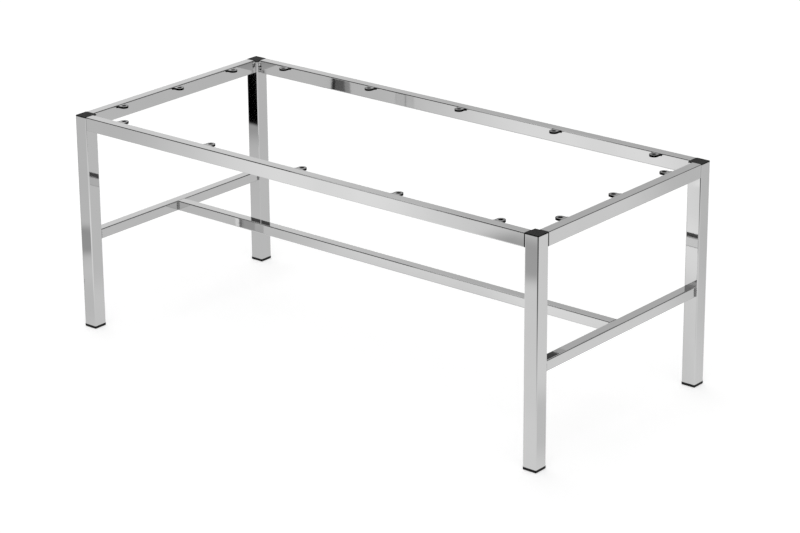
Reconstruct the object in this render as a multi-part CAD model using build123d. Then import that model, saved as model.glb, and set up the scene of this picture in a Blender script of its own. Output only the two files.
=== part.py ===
from build123d import *

import os
from math import radians, tan

# Table frame of square tube, in millimetres.
# The origin is on the floor, midway between the four feet.
# X runs along the frame, Y across it, Z up; the front is towards -Y and the left towards -X.

# Overall size, over the outer faces of the legs and up to the tops of the rails
LENGTH = 1030.0
WIDTH = 480.0
HEIGHT = 405.0

# Tube sections
LEG_SIZE = 27.0
LEG_WALL = 1.5
RAIL_HEIGHT = 25.0
RAIL_WIDTH = 19.0
RAIL_WALL = 1.5
STRETCHER_SIZE = 19.0
STRETCHER_WALL = 1.2
TUBE_CORNER = 2.0

# Height of the stretchers' top faces above the floor
STRETCHER_TOP = 185.0

# Plugs in the tops of the legs and glides in their feet
CAP_THICK = 2.0
CAP_EDGE = 0.6
GLIDE_THICK = 5.0
GLIDE_PROUD = 0.25
GLIDE_EDGE = 1.0
SHANK_DEPTH = 16.0
SHANK_WALL = 1.6
SHANK_SLOPE = 1.4
RIB_CLEARANCE = 0.2
RIB_HEIGHT = 0.6
RIB_THICK = 1.0
RIB_COUNT = 3

# Screw tabs under the table top
TAB_THICK = 3.5
TAB_DROP = 0.8
TAB_HOLE = 7.0
TAB_REACH = 9.0
TAB_RADIUS = 8.0
TAB_SHOULDER = 3.0
TAB_END_MARGIN = 95.0
LONG_RAIL_TAB_COUNT = 5
SHORT_RAIL_TAB_COUNT = 3


def upright_tube(length, size_x, size_y, wall):
    """Tube with rounded outer corners, standing on the XY plane."""
    with BuildPart() as tube:
        with BuildSketch():
            RectangleRounded(size_x, size_y, TUBE_CORNER)
            Rectangle(size_x - 2 * wall, size_y - 2 * wall, mode=Mode.SUBTRACT)
        extrude(amount=length)
    return tube.part


def tube_along_x(length, width, height, wall):
    """Tube centred on the origin, its axis along X."""
    tube = upright_tube(length, height, width, wall)
    return Pos(-length / 2, 0, 0) * Rot(0, 90, 0) * tube


def tube_along_y(length, width, height, wall):
    """Tube centred on the origin, its axis along Y."""
    tube = upright_tube(length, width, height, wall)
    return Pos(0, length / 2, 0) * Rot(90, 0, 0) * tube


def leg():
    """Leg tube, from the glide's shoulder up to the plug's shoulder."""
    length = HEIGHT - GLIDE_THICK - CAP_THICK
    return Pos(0, 0, GLIDE_THICK) * upright_tube(length, LEG_SIZE, LEG_SIZE, LEG_WALL)


def ribbed_shank():
    """Hollow tapered shank with gripping ribs, hanging down from the XY plane."""
    rib_size = LEG_SIZE - 2 * LEG_WALL - 2 * RIB_CLEARANCE
    root_size = rib_size - 2 * RIB_HEIGHT
    tip_size = root_size - 2 * SHANK_DEPTH * tan(radians(SHANK_SLOPE))
    cavity_size = tip_size - 2 * SHANK_WALL
    pitch = SHANK_DEPTH / (RIB_COUNT + 1)
    down = (0, 0, -1)
    root = Rectangle(root_size, root_size)
    shank = extrude(root, SHANK_DEPTH, dir=down, taper=SHANK_SLOPE)
    for number in range(1, RIB_COUNT + 1):
        shank += Pos(0, 0, -pitch * number) * Box(rib_size, rib_size, RIB_THICK)
    cavity_depth = SHANK_DEPTH - SHANK_WALL
    cavity = Box(cavity_size, cavity_size, cavity_depth)
    return shank - Pos(0, 0, cavity_depth / 2 - SHANK_DEPTH) * cavity


def plug_head(size, thick, edge, edge_side):
    """Flat head standing on the XY plane, chamfered at its top (1) or its bottom (-1)."""
    with BuildPart() as head:
        with BuildSketch():
            RectangleRounded(size, size, TUBE_CORNER)
        extrude(amount=thick)
        outer_face = head.faces().sort_by(lambda face: edge_side * face.center().Z)[-1]
        chamfer(outer_face.edges(), min(edge, 0.8 * TUBE_CORNER))
    return head.part


def cap():
    """Plug in the top of a leg, its flat head over the tube's cut end."""
    head = plug_head(LEG_SIZE, CAP_THICK, CAP_EDGE, 1)
    return Pos(0, 0, HEIGHT - CAP_THICK) * (head + ribbed_shank())


def glide():
    """Glide in the bottom of a leg, its thick head standing on the floor."""
    head = plug_head(LEG_SIZE + 2 * GLIDE_PROUD, GLIDE_THICK, GLIDE_EDGE, -1)
    return head + Pos(0, 0, GLIDE_THICK) * Rot(180, 0, 0) * ribbed_shank()


def tab():
    """Screw tab lying on the XY plane, its weld edge along X and its round end at +Y."""
    foot_width = 2 * (TAB_RADIUS + TAB_SHOULDER)
    above_edge = (Align.CENTER, Align.MIN)
    with BuildPart() as plate:
        with BuildSketch():
            Trapezoid(foot_width, TAB_SHOULDER, 45, align=above_edge)
            Rectangle(2 * TAB_RADIUS, TAB_REACH, align=above_edge)
            with Locations((0, TAB_REACH)):
                Circle(TAB_RADIUS)
                Circle(TAB_HOLE / 2, mode=Mode.SUBTRACT)
        extrude(amount=TAB_THICK)
    return plate.part


def even_places(outside, count):
    """Places along a rail, the end ones TAB_END_MARGIN in from the frame's outside."""
    first = TAB_END_MARGIN - outside / 2
    pitch = (outside - 2 * TAB_END_MARGIN) / (count - 1)
    return [first + pitch * number for number in range(count)]


def write(shape, name):
    export_step(shape, f"parts/{name}.step")


def write_legs():
    """The four legs, each with its cap and its glide."""
    post = leg()
    top_plug = cap()
    foot_plug = glide()
    for side, sign_x in (("left", -1), ("right", 1)):
        for row, sign_y in (("front", -1), ("back", 1)):
            x = sign_x * (LENGTH - LEG_SIZE) / 2
            y = sign_y * (WIDTH - LEG_SIZE) / 2
            write(Pos(x, y, 0) * post, f"leg_{row}_{side}")
            write(Pos(x, y, 0) * top_plug, f"cap_{row}_{side}")
            write(Pos(x, y, 0) * foot_plug, f"glide_{row}_{side}")


def write_rails():
    """The four top rails, flush with the outer faces of the legs."""
    z = HEIGHT - RAIL_HEIGHT / 2
    long_rail = tube_along_x(LENGTH - 2 * LEG_SIZE, RAIL_WIDTH, RAIL_HEIGHT, RAIL_WALL)
    short_rail = tube_along_y(WIDTH - 2 * LEG_SIZE, RAIL_WIDTH, RAIL_HEIGHT, RAIL_WALL)
    for row, sign in (("front", -1), ("back", 1)):
        write(Pos(0, sign * (WIDTH - RAIL_WIDTH) / 2, z) * long_rail, f"long_rail_{row}")
    for side, sign in (("left", -1), ("right", 1)):
        write(Pos(sign * (LENGTH - RAIL_WIDTH) / 2, 0, z) * short_rail, f"short_rail_{side}")


def write_stretchers():
    """The lower H: an end stretcher between each pair of legs, and one down the middle."""
    z = STRETCHER_TOP - STRETCHER_SIZE / 2
    end_length = WIDTH - 2 * LEG_SIZE
    centre_length = LENGTH - LEG_SIZE - STRETCHER_SIZE
    end_tube = tube_along_y(end_length, STRETCHER_SIZE, STRETCHER_SIZE, STRETCHER_WALL)
    centre_tube = tube_along_x(
        centre_length, STRETCHER_SIZE, STRETCHER_SIZE, STRETCHER_WALL
    )
    for side, sign in (("left", -1), ("right", 1)):
        write(Pos(sign * (LENGTH - LEG_SIZE) / 2, 0, z) * end_tube, f"end_stretcher_{side}")
    write(Pos(0, 0, z) * centre_tube, "centre_stretcher")


def write_tabs():
    """Screw tabs on the inner faces of the rails, a little below the rails' tops."""
    plate = tab()
    z = HEIGHT - TAB_DROP - TAB_THICK
    inner_x = LENGTH / 2 - RAIL_WIDTH
    inner_y = WIDTH / 2 - RAIL_WIDTH
    for number, x in enumerate(even_places(LENGTH, LONG_RAIL_TAB_COUNT), 1):
        write(Pos(x, -inner_y, z) * plate, f"tab_front_{number}")
        write(Pos(x, inner_y, z) * Rot(0, 0, 180) * plate, f"tab_back_{number}")
    for number, y in enumerate(even_places(WIDTH, SHORT_RAIL_TAB_COUNT), 1):
        write(Pos(-inner_x, y, z) * Rot(0, 0, -90) * plate, f"tab_left_{number}")
        write(Pos(inner_x, y, z) * Rot(0, 0, 90) * plate, f"tab_right_{number}")


os.makedirs("parts", exist_ok=True)
write_legs()
write_rails()
write_stretchers()
write_tabs()
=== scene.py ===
import math

import bmesh
import bpy
from mathutils import Matrix, Vector


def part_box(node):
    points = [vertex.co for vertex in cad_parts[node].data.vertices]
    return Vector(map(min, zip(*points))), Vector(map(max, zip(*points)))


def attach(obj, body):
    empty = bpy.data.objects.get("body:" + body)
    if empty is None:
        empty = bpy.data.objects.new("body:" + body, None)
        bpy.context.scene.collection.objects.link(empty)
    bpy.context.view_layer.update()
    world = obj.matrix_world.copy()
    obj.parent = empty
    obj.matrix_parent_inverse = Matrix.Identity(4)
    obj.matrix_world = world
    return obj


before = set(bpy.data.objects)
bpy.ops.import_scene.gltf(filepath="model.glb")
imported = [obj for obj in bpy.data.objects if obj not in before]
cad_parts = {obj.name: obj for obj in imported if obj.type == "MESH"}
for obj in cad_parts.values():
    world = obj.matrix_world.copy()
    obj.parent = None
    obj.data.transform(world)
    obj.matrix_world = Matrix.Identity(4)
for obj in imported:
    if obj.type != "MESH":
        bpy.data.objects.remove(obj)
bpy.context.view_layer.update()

# The photograph's width, in pixels, and the camera's sensor, in millimetres
PICTURE_WIDTH = 800
SENSOR_WIDTH = 36.0

# Camera: its place and the farthest that it sees in metres, its angles in radians, and its lens
# and shift in pixels of the photograph
CAMERA_PLACE = (2.9526, -3.5233, 1.8773)
CAMERA_YAW = 0.72177
CAMERA_PITCH = -0.34181
CAMERA_ROLL = -0.01711
FOCAL_PIXELS = 2784.7
SHIFT_RIGHT_PIXELS = -80.0
SHIFT_DOWN_PIXELS = -40.0
FARTHEST_SEEN = 100.0

# Shades of the metals; every other face keeps its own near them
CHROME_SHADE = 0.60
TAB_SHADE = 0.46
# The weld beads of the stretchers and tabs are painted dark: painted shade standing in for the
# shade in the joints around them
WELD_PAINTED_SHADE = 0.3
# The welds inside the rails' corners are painted brighter than the rails: a painted highlight
PAINTED_SPOTS_WELD_SHADE = 0.7
# The tabs' cut edges and the walls of their holes are painted near black: painted shade and
# dark reflection
CUT_EDGE_PAINTED_SHADE = 0.008
SHADE_BY_HAZE = 0.03
SHADE_BY_GRAIN = 0.01

# Roughness of the metals
POLISH = 0.01
ROUGHNESS_BY_HAZE = 0.03
ROUGHNESS_BY_GRAIN = 0.01
TAB_DULLNESS = 0.06
PAINTED_SPOTS_WELD_DULLNESS = 0.02
PAINTED_SPOT_ROUGHNESS = 0.2
CUT_EDGE_ROUGHNESS = 0.35

# Fineness of the marks in the plate, as noise scales per metre, and their relief in metres
HAZE_SCALE = 18.0
GRAIN_SCALE = 900.0
WAVES_SCALE = 7.0
PAINTED_SPOTS_SCALE = 240.0
WAVES_RELIEF = 0.6
GRAIN_RELIEF = 0.001
PLATE_RELIEF = 0.0006

# Dark spots painted on the welds inside the rails' corners: a painted reflection of the dark
# room in the beads' ripples
PAINTED_SPOT_DARKNESS = 0.95
PAINTED_SPOT_THRESHOLD = (0.5, 0.6)

# Upright part of a face's normal below which a tab's face counts as its cut edge
CUT_EDGE_RANGE = (0.3, 0.6)

# Rounded rims of the tabs' tops and of their holes, in metres from the hole's middle, painted
# dark as a painted reflection
HOLE_TO_RAIL = 0.009
OUTER_RIM = (0.0056, 0.0066)
HOLE_RIM = (0.0045, 0.0053)
RIM_PAINTED_DARK_REFLECTION = 0.92
LONG_TO_SHORT_RAIL_TABS = (0.45, 0.46)

# Fine line of painted shade where the end of a tube meets a leg, standing in for the shade in
# the hairline gap, in metres; darkest at the leg at the front right and faint at the others
JOINT_LINE_HALF_WIDTH = 0.0006
JOINT_LINE_BLUR = 0.00036
JOINT_LINE_INSET = 0.0004
JOINT_LINE_PAINTED_SHADE = 0.8
FAINT_JOINT_SHADE_SHARE = 0.2
BESIDE_LEGS = (0.1, 0.11)
NEAR_FRONT_RIGHT_LEG = (0.5, 0.6)

# Black moulding of the caps and glides
MOULDING_SHADE = 0.006
MOULDING_SHADE_BY_GRAIN = 0.004
MOULDING_SHADE_BY_SCUFFS = 0.012
MOULDING_ROUGHNESS = 0.5
MOULDING_ROUGHNESS_BY_GRAIN = 0.12
MOULDING_ROUGHNESS_BY_SCUFFS = 0.1
MOULDING_SHINE = 0.15
MOULDING_GRAIN_SCALE = 1400.0
MOULDING_GRAIN_RELIEF = 0.0002
MOULDING_GRAIN_STRENGTH = 0.5
SCUFFS_SCALE = 160.0
SCUFFS_THRESHOLD = (0.55, 0.75)

# Weld beads of the tabs and of the tubes, in metres
BEAD_SIDES = 12
BEAD_RINGS = 48
BEAD_BLUNTNESS = 6
SHORT_OF_POLE = 0.999
BEAD_RISE = 0.3
TAB_BEAD_RADIUS = 0.0008
TAB_BEAD_RIPPLES = 14
TAB_BEAD_RELIEF = 0.12
TUBE_BEAD_RADIUS = 0.0019
TUBE_BEAD_RIPPLES = 5
TUBE_BEAD_RELIEF = 0.3

# Strip lamp, in metres
STRIP_LAMP_PLACE = (-1.41, -1.3, 2.1)
STRIP_LAMP_TILT = math.radians(32)
STRIP_LAMP_WIDTH = 0.47
STRIP_LAMP_HEIGHT = 1.8
STRIP_LAMP_WATTS = 2.4

# Studio floor, in metres: it lies a hair below the glides
FLOOR_HALF_SIZE = 30.0
FLOOR_DROP = 0.0002
FLOOR_PAINT = 0.8
FLOOR_GLOW = 0.54

# Ways across the floor, seen from above, as steps in x and in y
ACROSS_THE_VIEW = (1.0, -0.83)
ACROSS_THE_STREAK = (0.79, -0.61)
ACROSS_THE_BLACK_FLAG = (1.0, -0.925)
TO_THE_CAMERA = (0.66, -0.75)
AWAY_FROM_THE_CAMERA = (-0.64, 0.77)
LEFT_OF_THE_CAMERA = (-0.77, -0.64)

# Light painted on the floor for the chrome alone, a painted reflection: its levels at the left
# and at the right, and the part near the camera that fades to dark
FLOOR_LEVELS = (0.74, 0.93)
FLOOR_STEP = (0.2, 0.42)
NEAR_CAMERA_STEP = (0.65, 1.35)
NEAR_CAMERA_SHARE = 0.1

# Bright streak of light across the floor in front of the frame, in metres
STREAK_GAIN = 0.4
STREAK_OFFSET = 0.064
STREAK_REACH = 0.45
STREAK_START = (-0.15, -0.7)

# Pools of light on the floor that the chrome sees: the light each one adds, then the middle
# in x and y, the half sizes in x and y, and the soft rim of its rectangle, in metres
POOLS = {
    "under the frame": (0.04, 0.0, 0.1, 0.75, 0.6, 0.2),
    "in front of the centre stretcher": (0.09, -0.25, -0.36, 0.5, 0.14, 0.06),
    "beside the front left leg": (0.1, -0.42, -0.12, 0.1, 0.1, 0.08),
}

# Cards painted on the floor for the chrome alone, as painted reflections: the share by which
# each one lightens it, or darkens it where the share is negative, then the same sizes as above
PAINTED_FLOOR_CARDS = {
    "shade beyond the right end": (-0.18, 0.63, -0.08, 0.11, 0.12, 0.08),
    "shade beyond the left end": (-0.12, -0.6, -0.34, 0.13, 0.1, 0.08),
    "white card behind the left end": (0.57, -0.961, 0.343, 0.07, 0.06, 0.02),
    "white card in front of the frame": (0.22, -0.043, -0.769, 0.055, 0.075, 0.02),
    "white card behind the centre stretcher": (0.9, 0.102, 0.416, 0.04, 0.033, 0.01),
    "soft rim of the black flag": (-0.35, -1.2, -0.45, 0.2, 0.12, 0.08),
    "grey flag beside the left end": (-0.4, -0.85, -0.565, 0.07, 0.06, 0.03),
    "small flag in front of the frame": (-0.42, -0.11, -1.03, 0.12, 0.1, 0.05),
}

# Long black flag painted on the floor, seen in the back left leg as a painted dark reflection,
# in metres
FLAG_ACROSS = (-1.2, -0.672)
FLAG_ALONG = (-0.75, -0.435)
FLAG_SIDE_BLUR = 0.004
FLAG_END_BLUR = 0.012

# These slanted cards are painted on the floor for the chrome alone: painted reflections
# Slanted cards on the floor, seen as upright bands in the tubes, in metres: the way across
# each one, its reach in y with the soft rim of its ends, how far its sides wander and the
# noise scale of that, and its sides from left to right, each with the share by which it
# lightens the floor, or darkens it where the share is negative
SLANTED_SIDE_BLUR = 0.001
PAINTED_SLANTED_CARDS = {
    "lamp stand, seen in the back rail": {
        "across": (1.0, -0.85),
        "reach": (-0.85, -0.7),
        "end_blur": 0.01,
        "wander": 0.008,
        "wander_scale": 60.0,
        "sides": (
            (-1.0, -0.519, -0.507),
            (-0.8, -0.507, -0.475),
            (-0.5, -0.475, -0.456),
        ),
    },
    "clamp of the flag, seen in the centre stretcher": {
        "across": (1.0, -0.915),
        "reach": (-0.41, -0.335),
        "end_blur": 0.004,
        "wander": 0.006,
        "wander_scale": 90.0,
        "sides": (
            (0.3, -0.345, -0.3355),
            (-0.7, -0.3345, -0.327),
            (-0.45, -0.327, -0.313),
        ),
    },
}

# Light of the room: two soft boxes beside the view, a pale ceiling and skirting, and a dim
# wall between them, with the heights at which they begin and end as parts of a unit sphere
BOX_LEVELS = (0.60, 0.88)
BOX_LEVEL_STEP = (-0.06, 0.07)
BOX_SIDES = (0.35, 0.6)
CEILING_START = (0.75, 0.9)
SKIRTING_END = (0.08, 0.2)
DIM_WALL_LEVEL = 0.12
DIM_WALL_END = (0.4, 0.55)


class Wire:
    """One output socket of a shader node, with arithmetic on it."""

    def __init__(self, tree, socket):
        self.tree = tree
        self.socket = socket

    def _math(self, operation, *values):
        return node(self.tree, "ShaderNodeMath", {"operation": operation}, values)

    def __add__(self, other):
        return self._math("ADD", self, other)

    __radd__ = __add__

    def __sub__(self, other):
        return self._math("SUBTRACT", self, other)

    def __rsub__(self, other):
        return self._math("SUBTRACT", other, self)

    def __mul__(self, other):
        return self._math("MULTIPLY", self, other)

    __rmul__ = __mul__

    def __pow__(self, other):
        return self._math("POWER", self, other)

    def __abs__(self):
        return self._math("ABSOLUTE", self)

    def at_least(self, other):
        return self._math("MAXIMUM", self, other)

    def from_middle_of_pitch(self, pitch):
        """How far the value is from the nearest whole number of pitches."""
        return self._math("WRAP", self, pitch / 2, -pitch / 2)


def node(tree, kind, settings=None, sockets=(), output=0):
    """A node of one kind; its settings first, then values or links of its sockets."""
    made = tree.nodes.new(kind)
    for name, value in (settings or {}).items():
        setattr(made, name, value)
    pairs = sockets.items() if isinstance(sockets, dict) else enumerate(sockets)
    for name, value in pairs:
        if isinstance(value, Wire):
            tree.links.new(value.socket, made.inputs[name])
        else:
            made.inputs[name].default_value = value
    return Wire(tree, made.outputs[output]) if made.outputs else None


def ramp(value, limits, levels=(0.0, 1.0)):
    """A soft step of a value from one limit to the other."""
    sockets = {
        "Value": value,
        "From Min": limits[0],
        "From Max": limits[1],
        "To Min": levels[0],
        "To Max": levels[1],
    }
    settings = {"interpolation_type": "SMOOTHSTEP"}
    return node(value.tree, "ShaderNodeMapRange", settings, sockets)


def falling_ramp(value, limits):
    """A soft step of a value from one at the first limit to nought at the other."""
    return ramp(value, limits, (1.0, 0.0))


def band(value, limits, blur):
    """One between two limits, fading to nought over its soft rim."""
    middle = (limits[0] + limits[1]) / 2
    half = (limits[1] - limits[0]) / 2
    return falling_ramp(abs(value - middle), (half - blur, half + blur))


def split(vector):
    """The three parts of a vector."""
    return [
        node(vector.tree, "ShaderNodeSeparateXYZ", sockets=(vector,), output=number)
        for number in range(3)
    ]


def step_along(x, y, way):
    """How far a point of the floor lies along one of the ways across it."""
    return way[0] * x + way[1] * y


def grey(value):
    """The same value in all three channels of a colour."""
    return node(value.tree, "ShaderNodeCombineColor", sockets=(value, value, value))


def object_place(tree):
    """Where a point is on its object, in metres."""
    return node(tree, "ShaderNodeTexCoord", output="Object")


def noise(place, scale, detail):
    """Cloudy noise over a surface."""
    sockets = {"Vector": place, "Scale": scale, "Detail": detail}
    return node(place.tree, "ShaderNodeTexNoise", sockets=sockets, output="Fac")


def bump(height, distance, strength=1.0):
    """A normal that makes a height look like relief."""
    sockets = {"Height": height, "Distance": distance, "Strength": strength}
    return node(height.tree, "ShaderNodeBump", sockets=sockets)


def new_material(name):
    """An empty material, and its node tree."""
    material = bpy.data.materials.new(name)
    material.use_nodes = True
    tree = material.node_tree
    tree.nodes.clear()
    return material, tree


def close_material(tree, sockets):
    """Gives a material its Principled shader."""
    shader = node(tree, "ShaderNodeBsdfPrincipled", sockets=sockets)
    node(tree, "ShaderNodeOutputMaterial", sockets={"Surface": shader})


def line_at(value, target):
    """One on the joint line at a target, and nought elsewhere."""
    fade = (JOINT_LINE_HALF_WIDTH, JOINT_LINE_HALF_WIDTH + JOINT_LINE_BLUR)
    return falling_ramp(abs(value - target), fade)


def joint_lines(place):
    """How strong the painted shade is, on the lines where rails and stretchers meet the legs.
    """
    inner_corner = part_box("leg_back_right")[0]
    x, y, _ = split(place)
    ends_of_long_rails = line_at(abs(x), inner_corner.x - JOINT_LINE_INSET)
    ends_of_short_rails = line_at(abs(y), inner_corner.y - JOINT_LINE_INSET)
    beside_legs = ramp(abs(y), BESIDE_LEGS)
    lines = (ends_of_long_rails * beside_legs).at_least(ends_of_short_rails)
    return lines * ramp(x - y, NEAR_FRONT_RIGHT_LEG, (FAINT_JOINT_SHADE_SHARE, 1.0))


def rolled_rims(place):
    """One on the rounded rims of the tabs' tops and of their holes, where a dark reflection is
    painted, and nought elsewhere.
    """
    x, y, _ = split(place)
    long_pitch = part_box("tab_front_2")[0].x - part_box("tab_front_1")[0].x
    short_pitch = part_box("tab_left_2")[0].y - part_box("tab_left_1")[0].y
    long_rail_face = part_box("long_rail_back")[0].y
    short_rail_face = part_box("short_rail_right")[0].x
    on_short_rail = ramp(abs(x), LONG_TO_SHORT_RAIL_TABS)
    on_long_rail = 1 - on_short_rail
    sideways = (
        x.from_middle_of_pitch(long_pitch) * on_long_rail
        + y.from_middle_of_pitch(short_pitch) * on_short_rail
    )
    off_rail = (
        (long_rail_face - abs(y)) * on_long_rail
        + (short_rail_face - abs(x)) * on_short_rail
    )
    outwards = off_rail - HOLE_TO_RAIL
    beyond_hole = outwards.at_least(0.0)
    off_spine = (sideways * sideways + beyond_hole * beyond_hole) ** 0.5
    off_hole = (sideways * sideways + outwards * outwards) ** 0.5
    return ramp(off_spine, OUTER_RIM).at_least(falling_ramp(off_hole, HOLE_RIM))


def chrome(name, plate_shade, dullness=0.0, cut_edges=False, joints=False, painted_spots=False):
    """Bright plate over polished steel: faint haze, buffing marks and soft waviness."""
    material, tree = new_material(name)
    place = object_place(tree)
    haze = noise(place, HAZE_SCALE, detail=3.0)
    grain = noise(place, GRAIN_SCALE, detail=2.0)
    waves = noise(place, WAVES_SCALE, detail=1.0)
    shade = plate_shade + SHADE_BY_HAZE * (haze - 0.5) + SHADE_BY_GRAIN * (grain - 0.5)
    roughness = (
        dullness + POLISH + ROUGHNESS_BY_HAZE * haze + ROUGHNESS_BY_GRAIN * grain
    )
    if cut_edges:
        normal = node(tree, "ShaderNodeNewGeometry", output="Normal")
        edge = falling_ramp(abs(split(normal)[2]), CUT_EDGE_RANGE)
        # Painted shade: the cut edges and the walls of the holes are painted near black
        shade = shade * (1 - edge) + CUT_EDGE_PAINTED_SHADE * edge
        # Painted dark reflection on the rounded rims of the tabs' tops and holes
        shade = shade * (1 - RIM_PAINTED_DARK_REFLECTION * rolled_rims(place))
        roughness = roughness * (1 - edge) + CUT_EDGE_ROUGHNESS * edge
    # Painted reflection: dark spots painted on the weld, with rougher metal on them
    if painted_spots:
        painted_spot = ramp(noise(place, PAINTED_SPOTS_SCALE, detail=1.0), PAINTED_SPOT_THRESHOLD)
        shade = shade * (1 - PAINTED_SPOT_DARKNESS * painted_spot)
        roughness = roughness + PAINTED_SPOT_ROUGHNESS * painted_spot
    # Painted shade in the hairline joints where the tubes meet the legs
    if joints:
        shade = shade * (1 - JOINT_LINE_PAINTED_SHADE * joint_lines(place))
    relief = WAVES_RELIEF * waves + GRAIN_RELIEF * grain
    close_material(
        tree,
        {
            "Base Color": grey(shade),
            "Roughness": roughness,
            "Metallic": 1.0,
            "Normal": bump(relief, PLATE_RELIEF),
        },
    )
    return material


def black_plastic():
    """Matt moulding with a fine grain and a few paler scuffs."""
    material, tree = new_material("black_moulding")
    place = object_place(tree)
    grain = noise(place, MOULDING_GRAIN_SCALE, detail=3.0)
    scuffs = ramp(noise(place, SCUFFS_SCALE, detail=4.0), SCUFFS_THRESHOLD)
    shade = (
        MOULDING_SHADE
        + MOULDING_SHADE_BY_GRAIN * grain
        + MOULDING_SHADE_BY_SCUFFS * scuffs
    )
    roughness = (
        MOULDING_ROUGHNESS
        + MOULDING_ROUGHNESS_BY_GRAIN * grain
        + MOULDING_ROUGHNESS_BY_SCUFFS * scuffs
    )
    close_material(
        tree,
        {
            "Base Color": grey(shade),
            "Roughness": roughness,
            "Specular IOR Level": MOULDING_SHINE,
            "Normal": bump(grain, MOULDING_GRAIN_RELIEF, MOULDING_GRAIN_STRENGTH),
        },
    )
    return material


def dress(node_name, material):
    """Gives a CAD node its material."""
    target = bpy.data.objects[node_name]
    target.data.materials.clear()
    target.data.materials.append(material)


def bead(shape, middle, along, length, radius, ripples, relief):
    """A run of weld metal: a long blunt ball with the ripples of the puddle across it."""
    ball = bmesh.ops.create_uvsphere(
        shape, u_segments=BEAD_SIDES, v_segments=BEAD_RINGS, radius=1.0
    )["verts"]
    for vert in ball:
        share = min(abs(vert.co.z), SHORT_OF_POLE)
        fullness = math.sqrt((1 - share**BEAD_BLUNTNESS) / (1 - share**2))
        ripple = 1 + relief * math.cos(math.pi * ripples * vert.co.z)
        vert.co.x *= radius * fullness * ripple
        vert.co.y *= radius * fullness * ripple
        vert.co.z *= length / 2
    turn = Vector(along).to_track_quat("Z", "Y").to_matrix().to_4x4()
    place = Matrix.Translation(middle) @ turn
    bmesh.ops.transform(shape, matrix=place, verts=ball)


def tab_bead(shape, middle, along, length):
    """The fine bead over or under the edge by which a tab hangs."""
    bead(shape, middle, along, length, TAB_BEAD_RADIUS, TAB_BEAD_RIPPLES, TAB_BEAD_RELIEF)


def tube_bead(shape, middle, length):
    """The upright bead beside the end of a tube."""
    sizes = (TUBE_BEAD_RADIUS, TUBE_BEAD_RIPPLES, TUBE_BEAD_RELIEF)
    bead(shape, middle, (0, 0, 1), length, *sizes)


def finish_weld(name, shape, material):
    """Turns the beads of one joint into a piece of the frame."""
    bmesh.ops.recalc_face_normals(shape, faces=shape.faces)
    for face in shape.faces:
        face.smooth = True
    mesh = bpy.data.meshes.new(name)
    shape.to_mesh(mesh)
    shape.free()
    mesh.materials.append(material)
    weld = bpy.data.objects.new(name, mesh)
    bpy.context.scene.collection.objects.link(weld)
    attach(weld, "root")


def add_tab_weld(tab_name, material):
    """Weld beads over and under the edge by which a tab hangs on its rail."""
    low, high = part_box(tab_name)
    middle = (low + high) / 2
    rail = tab_name.split("_")[1]
    if rail in ("front", "back"):
        along = (1, 0, 0)
        length = high.x - low.x
        middle.y = low.y if rail == "front" else high.y
    else:
        along = (0, 1, 0)
        length = high.y - low.y
        middle.x = low.x if rail == "left" else high.x
    shape = bmesh.new()
    for height in (high.z - BEAD_RISE * TAB_BEAD_RADIUS, low.z):
        tab_bead(shape, (middle.x, middle.y, height), along, length)
    finish_weld("weld_of_" + tab_name, shape, material)


def add_end_welds(tube_name, sides, material):
    """Upright weld beads on the given sides (-1, 1) of both ends of a tube."""
    low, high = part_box(tube_name)
    size = high - low
    lengthwise, crosswise = (0, 1) if size.x > size.y else (1, 0)
    end_names = (("left", "right"), ("front", "back"))[lengthwise]
    rise = BEAD_RISE * TUBE_BEAD_RADIUS
    for end_name, end, inward in zip(end_names, (low, high), (1, -1)):
        shape = bmesh.new()
        for side in sides:
            middle = (low + high) / 2
            middle[lengthwise] = end[lengthwise] + inward * rise
            middle[crosswise] += side * (size[crosswise] / 2 + rise)
            tube_bead(shape, middle, size.z - TUBE_BEAD_RADIUS)
        finish_weld(f"weld_of_{tube_name}_{end_name}", shape, material)


def add_tube_welds(weld_chrome, painted_spots_weld_chrome):
    """Welds inside the corners of the rails, and on both sides of the stretchers."""
    inner_sides = {
        "long_rail_front": 1,
        "long_rail_back": -1,
        "short_rail_left": 1,
        "short_rail_right": -1,
    }
    for name, inner_side in inner_sides.items():
        add_end_welds(name, (inner_side,), painted_spots_weld_chrome)
    for name in ("end_stretcher_left", "end_stretcher_right", "centre_stretcher"):
        add_end_welds(name, (-1, 1), weld_chrome)


def dress_frame():
    """Gives every CAD node its finish, and the tabs their welds."""
    leg_chrome = chrome("chrome_leg", CHROME_SHADE)
    rail_chrome = chrome("chrome_rail", CHROME_SHADE, joints=True)
    tab_chrome = chrome("chrome_tab", TAB_SHADE, TAB_DULLNESS, cut_edges=True)
    weld_chrome = chrome("chrome_weld", WELD_PAINTED_SHADE, TAB_DULLNESS)
    painted_spots_weld_chrome = chrome(
        "chrome_weld_with_painted_spots", PAINTED_SPOTS_WELD_SHADE, PAINTED_SPOTS_WELD_DULLNESS, painted_spots=True
    )
    moulding = black_plastic()
    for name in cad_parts:
        if name.startswith(("cap_", "glide_")):
            dress(name, moulding)
        elif name.startswith("tab_"):
            dress(name, tab_chrome)
            add_tab_weld(name, weld_chrome)
        elif name.startswith("leg_"):
            dress(name, leg_chrome)
        else:
            dress(name, rail_chrome)
    add_tube_welds(weld_chrome, painted_spots_weld_chrome)


def ray_is(tree, kind):
    """One for rays of one kind, and nought for the rest."""
    return node(tree, "ShaderNodeLightPath", output=f"Is {kind} Ray")


def soft_patch(x, y, middle_x, middle_y, half_x, half_y, blur):
    """One on a rectangle of the floor, fading to nought over its soft rim."""
    along = falling_ramp(abs(x - middle_x), (half_x - blur, half_x + blur))
    across = falling_ramp(abs(y - middle_y), (half_y - blur, half_y + blur))
    return along * across


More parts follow.
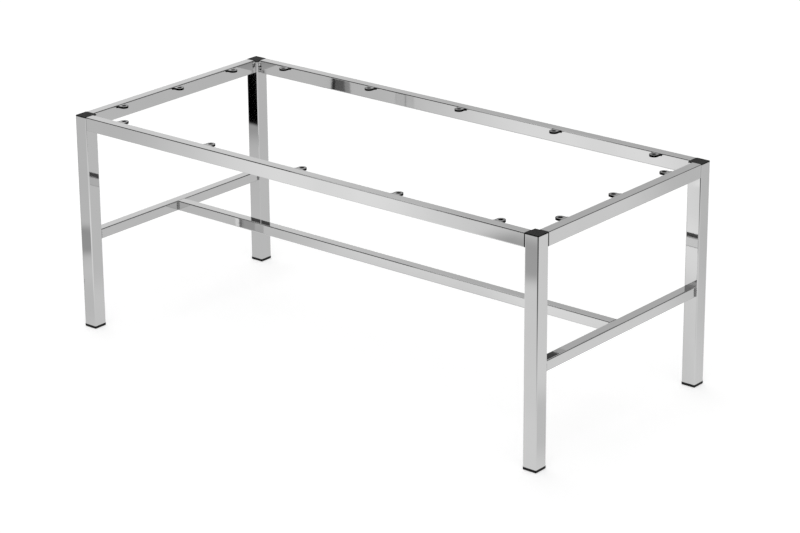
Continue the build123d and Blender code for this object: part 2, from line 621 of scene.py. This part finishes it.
def painted_black_flag(x, y):
    """Share of light that the long black flag painted at the left takes, as a painted dark
    reflection.
    """
    across = band(step_along(x, y, ACROSS_THE_BLACK_FLAG), FLAG_ACROSS, FLAG_SIDE_BLUR)
    return across * band(y, FLAG_ALONG, FLAG_END_BLUR)


def painted_slanted_card(place, x, y, across, reach, end_blur, wander, wander_scale, sides):
    """Share of the floor's light that stays on and around a painted card with several shades.
    """
    wobble = noise(place, wander_scale, detail=1.0)
    position = step_along(x, y, across) + wander * (wobble - 0.5)
    within_ends = band(y, reach, end_blur)
    stays = 1.0
    for share, *limits in sides:
        stays = stays * (1 + share * band(position, limits, SLANTED_SIDE_BLUR) * within_ends)
    return stays


def bright_streak(x, y):
    """Light of the streak across the floor, from nought beside it to one in its middle."""
    off_streak = abs(step_along(x, y, ACROSS_THE_STREAK) - STREAK_OFFSET)
    return falling_ramp(off_streak, (0.0, STREAK_REACH)) * ramp(y, STREAK_START)


def floor_light_in_chrome(tree):
    """How bright the floor is painted for the chrome alone, from place to place: painted
    reflections.
    """
    place = object_place(tree)
    x, y, _ = split(place)
    level = ramp(step_along(x, y, ACROSS_THE_VIEW), FLOOR_STEP, FLOOR_LEVELS)
    level = level + STREAK_GAIN * bright_streak(x, y)
    for gain, *sizes in POOLS.values():
        level = level + gain * soft_patch(x, y, *sizes)
    for share, *sizes in PAINTED_FLOOR_CARDS.values():
        level = level * (1 + share * soft_patch(x, y, *sizes))
    for card in PAINTED_SLANTED_CARDS.values():
        level = level * painted_slanted_card(place, x, y, **card)
    near_camera = step_along(x, y, TO_THE_CAMERA)
    level = level * ramp(near_camera, NEAR_CAMERA_STEP, (1.0, NEAR_CAMERA_SHARE))
    return level * (1 - painted_black_flag(x, y))


def add_floor():
    """White studio floor that keeps a faint shadow, with pools and cards painted on it for the
    chrome alone.
    """
    mesh = bpy.data.meshes.new("studio_floor")
    shape = bmesh.new()
    bmesh.ops.create_grid(shape, x_segments=1, y_segments=1, size=FLOOR_HALF_SIZE)
    bmesh.ops.translate(shape, verts=shape.verts, vec=(0, 0, -FLOOR_DROP))
    shape.to_mesh(mesh)
    shape.free()
    floor = bpy.data.objects.new("studio_floor", mesh)
    bpy.context.scene.collection.objects.link(floor)
    material, tree = new_material("white_floor")
    colour = (FLOOR_PAINT, FLOOR_PAINT, FLOOR_PAINT, 1)
    paint = node(tree, "ShaderNodeBsdfDiffuse", sockets={"Color": colour})
    whitened = grey(FLOOR_GLOW * ray_is(tree, "Camera"))
    glow = node(tree, "ShaderNodeEmission", sockets={"Color": whitened})
    lit_paint = node(tree, "ShaderNodeAddShader", sockets=(paint, glow))
    # Painted reflections: a pattern on the floor that glossy rays alone see
    mirrored = grey(floor_light_in_chrome(tree))
    in_chrome = node(tree, "ShaderNodeEmission", sockets={"Color": mirrored})
    choice = (ray_is(tree, "Glossy"), lit_paint, in_chrome)
    surface = node(tree, "ShaderNodeMixShader", sockets=choice)
    node(tree, "ShaderNodeOutputMaterial", sockets={"Surface": surface})
    mesh.materials.append(material)


def add_world():
    """Pale studio with two large soft boxes and darker corners between them."""
    world = bpy.data.worlds.new("studio")
    bpy.context.scene.world = world
    world.use_nodes = True
    tree = world.node_tree
    tree.nodes.clear()
    x, y, height = split(node(tree, "ShaderNodeTexCoord", output="Generated"))
    ahead = step_along(x, y, AWAY_FROM_THE_CAMERA)
    leftward = step_along(x, y, LEFT_OF_THE_CAMERA)
    boxes = ramp(abs(ahead), BOX_SIDES) * ramp(leftward, BOX_LEVEL_STEP, BOX_LEVELS)
    ceiling = ramp(height, CEILING_START)
    skirting = falling_ramp(height, SKIRTING_END)
    dim_wall = DIM_WALL_LEVEL * falling_ramp(height, DIM_WALL_END)
    light = boxes.at_least(ceiling).at_least(skirting).at_least(dim_wall)
    glow = node(tree, "ShaderNodeBackground", sockets={"Color": grey(light)})
    node(tree, "ShaderNodeOutputWorld", sockets={"Surface": glow})


def add_strip_lamp():
    """Tall soft box high at the front left, seen as a glint on the edges of the long tubes."""
    data = bpy.data.lights.new("strip_lamp", "AREA")
    data.shape = "RECTANGLE"
    data.size = STRIP_LAMP_WIDTH
    data.size_y = STRIP_LAMP_HEIGHT
    data.energy = STRIP_LAMP_WATTS
    lamp = bpy.data.objects.new("strip_lamp", data)
    bpy.context.scene.collection.objects.link(lamp)
    lamp.location = STRIP_LAMP_PLACE
    lamp.rotation_euler = (STRIP_LAMP_TILT, 0, 0)
    lamp.visible_camera = False


def add_camera():
    """Camera at the photograph's viewing angle."""
    data = bpy.data.cameras.new("camera")
    data.sensor_width = SENSOR_WIDTH
    data.sensor_fit = "HORIZONTAL"
    data.lens = FOCAL_PIXELS * SENSOR_WIDTH / PICTURE_WIDTH
    data.shift_x = -SHIFT_RIGHT_PIXELS / PICTURE_WIDTH
    data.shift_y = SHIFT_DOWN_PIXELS / PICTURE_WIDTH
    data.clip_end = FARTHEST_SEEN
    ahead = Vector(
        (
            -math.sin(CAMERA_YAW) * math.cos(CAMERA_PITCH),
            math.cos(CAMERA_YAW) * math.cos(CAMERA_PITCH),
            math.sin(CAMERA_PITCH),
        )
    )
    level = Vector((math.cos(CAMERA_YAW), math.sin(CAMERA_YAW), 0))
    above = level.cross(ahead)
    right = math.cos(CAMERA_ROLL) * level + math.sin(CAMERA_ROLL) * above
    up = -math.sin(CAMERA_ROLL) * level + math.cos(CAMERA_ROLL) * above
    camera = bpy.data.objects.new("camera", data)
    bpy.context.scene.collection.objects.link(camera)
    turn = Matrix((right, up, -ahead)).transposed().to_4x4()
    camera.matrix_world = Matrix.Translation(CAMERA_PLACE) @ turn
    bpy.context.scene.camera = camera


bpy.context.scene.view_settings.view_transform = "Standard"
add_camera()
add_world()
add_strip_lamp()
add_floor()
dress_frame()
